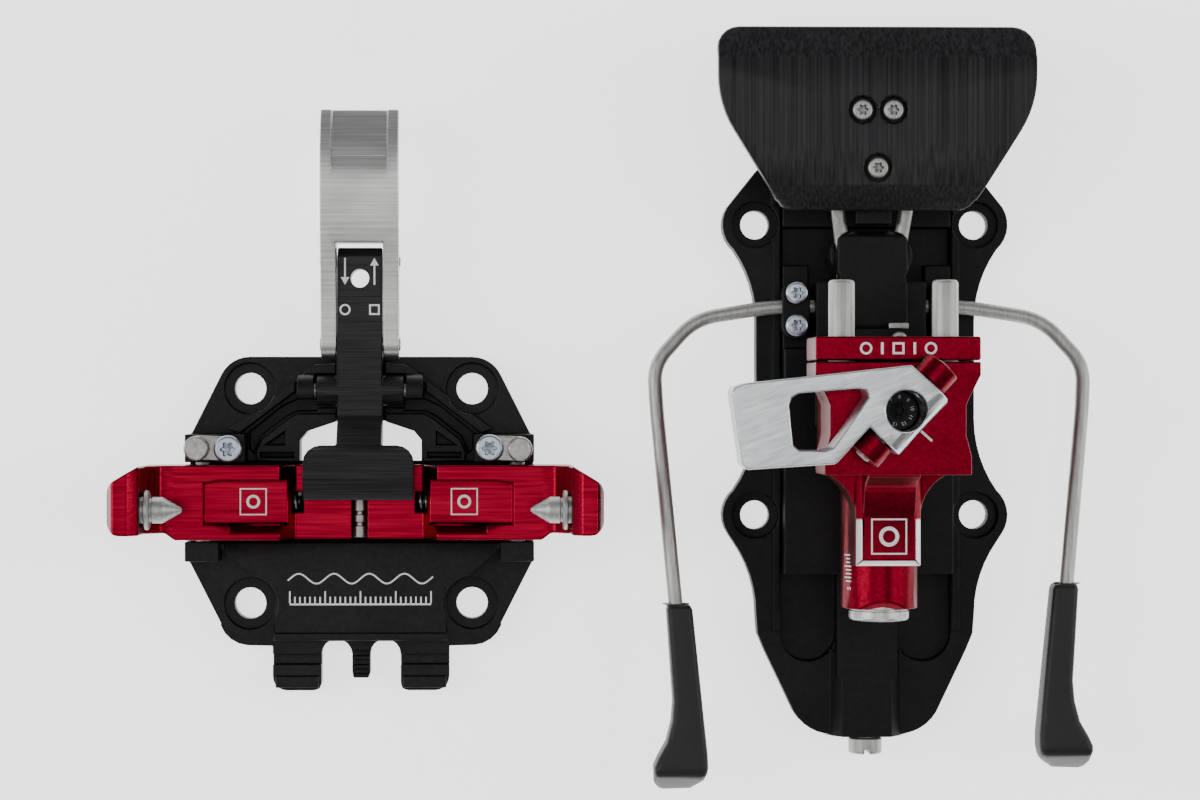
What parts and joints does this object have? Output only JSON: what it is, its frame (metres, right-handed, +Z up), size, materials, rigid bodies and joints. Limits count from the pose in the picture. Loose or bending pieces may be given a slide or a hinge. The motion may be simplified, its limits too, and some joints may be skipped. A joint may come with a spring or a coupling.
{
  "type": "touring binding",
  "caption": "Ski touring binding: a toe unit with sprung pin jaws and a lever, and a heel unit with a turning turret, a climbing aid and a ski brake, laid side by side.",
  "frame": {"origin": "centre of the toe unit's four screw holes, on the plane of the ski's top surface", "axes": "+X right, +Y towards the ski tip, +Z up from the ski; the heel unit's centre line is at x = 0.1009 m"},
  "size_m": [0.1923, 0.1495, 0.0598],
  "materials": {
    "black_anodised": "satin black anodised, milled",
    "matte_black": "matte black anodised, bead blasted",
    "red_anodised": "bright red anodised, milled",
    "turret_red": "deep red anodised, milled",
    "silver_anodised": "satin silver, brushed",
    "raw_aluminium": "bare machined aluminium",
    "stainless": "brushed stainless",
    "zinc": "zinc plated",
    "nickel": "satin nickel",
    "black_plastic": "matte moulded plastic",
    "spring_steel": "spring steel"
  },
  "bodies": {
    "root": {"toe_base": "black_anodised", "heel_base": "matte_black", "rocker_axle": "stainless", "jaw_axle_left": "stainless", "jaw_axle_right": "stainless", "stop_plate_left": "nickel", "stop_plate_right": "nickel", "stop_stud_left": "nickel", "stop_stud_right": "nickel", "stop_screw_left": "zinc", "stop_screw_right": "zinc"},
    "jaw_left": {"toe_jaw_left": "red_anodised", "toe_pin_left": "stainless", "jaw_spring_left": "spring_steel"},
    "jaw_right": {"toe_jaw_right": "red_anodised", "toe_pin_right": "stainless", "jaw_spring_right": "spring_steel"},
    "jaw_link": {"jaw_link_pin": "stainless"},
    "rocker": {"rocker_arm": "black_anodised", "lever_hinge_pin": "stainless"},
    "lever": {"lever": "silver_anodised", "lever_detent_pin_left": "stainless", "lever_detent_pin_right": "stainless"},
    "adjuster": {"adjuster_screw": "stainless"},
    "carriage": {"carriage": "matte_black", "turret_spindle": "stainless", "brake_clamp_left": "matte_black", "brake_clamp_right": "matte_black", "clamp_screw_left_1": "zinc", "clamp_screw_left_2": "zinc", "clamp_screw_right_1": "zinc", "clamp_screw_right_2": "zinc"},
    "brake": {"brake_pad": "black_anodised", "brake_pad_screw_1": "stainless", "brake_pad_screw_2": "stainless", "brake_pad_screw_3": "stainless", "brake_pad_bracket": "matte_black", "brake_block": "matte_black", "brake_spring": "spring_steel", "brake_wire_left": "stainless", "brake_wire_right": "stainless", "brake_foot_left": "black_plastic", "brake_foot_right": "black_plastic"},
    "latch": {"brake_latch": "matte_black", "latch_screw_1": "stainless", "latch_screw_2": "stainless", "latch_clip": "nickel"},
    "turret": {"turret_body": "turret_red", "turret_front_plate": "turret_red", "release_spring": "spring_steel", "riser_pin_1": "stainless", "riser_pin_2": "stainless"},
    "heel_pin_left": {"heel_pin_left": "stainless"},
    "heel_pin_right": {"heel_pin_right": "stainless"},
    "release_cap": {"release_cap": "silver_anodised"},
    "lateral_dial": {"lateral_dial": "black_anodised"},
    "riser": {"riser": "raw_aluminium"}
  },
  "joints": [
    {"name": "rocker_tilt", "type": "hinge", "parent": "root", "child": "rocker", "pos_m": [0, 0.021, 0.0085], "axis": [1, 0, 0], "range_deg": [0, 20]},
    {"name": "lever_lift", "type": "hinge", "parent": "rocker", "child": "lever", "pos_m": [0, 0.0302, 0.0085], "axis": [1, 0, 0], "range_deg": [0, 70]},
    {"name": "jaw_left_swing", "type": "hinge", "parent": "root", "child": "jaw_left", "pos_m": [-0.031, 0, 0.008], "axis": [0, 1, 0], "range_deg": [0, 13]},
    {"name": "jaw_right_swing", "type": "hinge", "parent": "root", "child": "jaw_right", "pos_m": [0.031, 0, 0.008], "axis": [0, 1, 0], "range_deg": [-13, 0]},
    {"name": "jaw_link_drop", "type": "slide", "parent": "root", "child": "jaw_link", "axis": [0, 0, 1], "range_m": [-0.0066, 0]},
    {"name": "carriage_slide", "type": "slide", "parent": "root", "child": "carriage", "axis": [0, 1, 0], "range_m": [-0.014, 0.003]},
    {"name": "adjuster_turn", "type": "hinge", "parent": "root", "child": "adjuster", "pos_m": [0.1009, 0, 0.0046], "axis": [0, 1, 0], "range_deg": [-3360, 720]},
    {"name": "brake_swing", "type": "hinge", "parent": "carriage", "child": "brake", "pos_m": [0.1009, 0.0377, 0.009], "axis": [1, 0, 0], "range_deg": [0, 45]},
    {"name": "latch_slide", "type": "slide", "parent": "carriage", "child": "latch", "axis": [0, 1, 0], "range_m": [-0.004, 0]},
    {"name": "turret_turn", "type": "hinge", "parent": "carriage", "child": "turret", "pos_m": [0.1009, 0.0172, 0.03], "axis": [0, 0, 1], "range_deg": [-90, 90]},
    {"name": "heel_pin_left_splay", "type": "hinge", "parent": "turret", "child": "heel_pin_left", "pos_m": [0.0912, 0.0212, 0.043], "axis": [0, 0, 1], "range_deg": [0, 2.2], "stiffness_Nm_per_rad": 30},
    {"name": "heel_pin_right_splay", "type": "hinge", "parent": "turret", "child": "heel_pin_right", "pos_m": [0.1106, 0.0212, 0.043], "axis": [0, 0, 1], "range_deg": [-2.2, 0]},
    {"name": "release_cap_turn", "type": "hinge", "parent": "turret", "child": "release_cap", "pos_m": [0.1009, -0.02, 0.024], "axis": [0, 1, 0], "range_deg": [-180, 180]},
    {"name": "dial_turn", "type": "hinge", "parent": "turret", "child": "lateral_dial", "pos_m": [0.1009, 0.0172, 0.047], "axis": [0, 0, 1], "range_deg": [-120, 120]},
    {"name": "riser_flip", "type": "hinge", "parent": "turret", "child": "riser", "pos_m": [0.1009, 0.0172, 0.055], "axis": [0.6691, 0.7431, 0], "range_deg": [0, 180]}
  ],
  "couplings": [
    {"joint": "jaw_left_swing", "follows": "rocker_tilt", "ratio": 0.65},
    {"joint": "jaw_right_swing", "follows": "rocker_tilt", "ratio": -0.65},
    {"joint": "jaw_link_drop", "follows": "rocker_tilt", "m_per_rad": -0.0189},
    {"joint": "adjuster_turn", "follows": "carriage_slide", "rad_per_m": 4188.8},
    {"joint": "heel_pin_right_splay", "follows": "heel_pin_left_splay", "ratio": -1}
  ]
}
